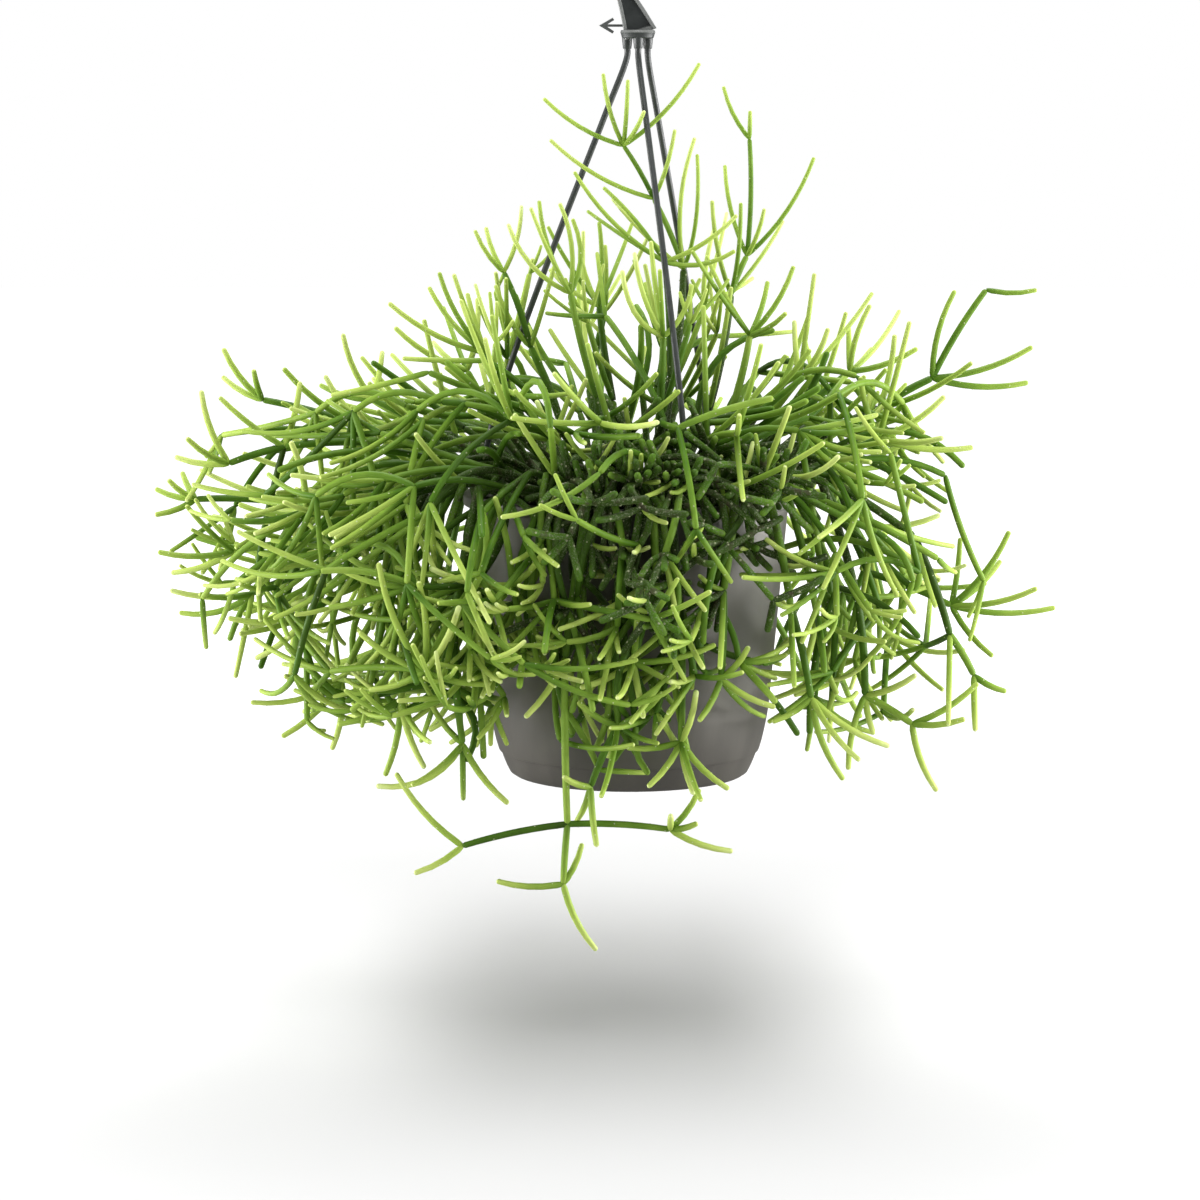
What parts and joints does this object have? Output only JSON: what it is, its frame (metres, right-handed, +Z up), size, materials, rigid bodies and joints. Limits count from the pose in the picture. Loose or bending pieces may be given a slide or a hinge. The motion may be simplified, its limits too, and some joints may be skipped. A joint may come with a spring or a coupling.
{
  "type": "potted rhipsalis heteroclada",
  "caption": "Leafless jungle cactus with whorls of pencil-thin green stems, spreading and trailing from a round tapered plastic pot on a hook hanger.",
  "frame": {"origin": "inner apex of the hook, where whatever the pot hangs on bears", "axes": "+Z up along the pot's axis, +X to the viewer's right, -Y towards the viewer"},
  "size_m": [0.4535, 0.3, 0.513],
  "materials": {
    "pot_plastic": "taupe-grey injection-moulded plastic, matt, with faint vertical streaks",
    "soil": "dark moist peat, rough and fibrous",
    "hanger_plastic": "dark grey-green moulded plastic, half matt",
    "stems": "waxy succulent stem, fresh yellow-green at the tips and dark green at the base"
  },
  "bodies": {
    "root": {"pot": "pot_plastic", "soil": "soil", "hanger_hook": "hanger_plastic", "hanger_arm_left": "hanger_plastic", "hanger_arm_front": "hanger_plastic", "hanger_arm_back": "hanger_plastic", "spray_top_01": "stems", "spray_top_02": "stems", "spray_top_03": "stems", "spray_top_04": "stems", "spray_top_05": "stems", "spray_top_06": "stems", "spray_top_07": "stems", "spray_top_08": "stems", "spray_top_09": "stems", "spray_top_10": "stems", "spray_left_01": "stems", "spray_left_02": "stems", "spray_left_03": "stems", "spray_left_04": "stems", "spray_left_05": "stems", "spray_left_06": "stems", "spray_left_07": "stems", "spray_left_08": "stems", "spray_left_09": "stems", "spray_left_10": "stems", "spray_left_11": "stems", "spray_hang_01": "stems", "spray_hang_02": "stems", "spray_hang_03": "stems", "spray_hang_04": "stems", "spray_hang_05": "stems", "spray_hang_06": "stems", "spray_hang_07": "stems", "spray_hang_08": "stems", "spray_hang_09": "stems", "spray_hang_10": "stems", "spray_hang_11": "stems", "spray_front_01": "stems", "spray_front_02": "stems", "spray_front_03": "stems", "spray_right_01": "stems", "spray_right_02": "stems", "spray_right_03": "stems", "spray_right_04": "stems", "spray_right_05": "stems", "spray_right_06": "stems", "spray_right_07": "stems", "spray_right_08": "stems", "spray_right_09": "stems", "spray_right_10": "stems", "spray_back_01": "stems", "spray_back_02": "stems", "spray_back_03": "stems", "spray_back_04": "stems", "spray_back_05": "stems", "spray_back_06": "stems", "spray_back_07": "stems", "spray_back_09": "stems", "spray_back_08": "stems"}
  },
  "joints": []
}
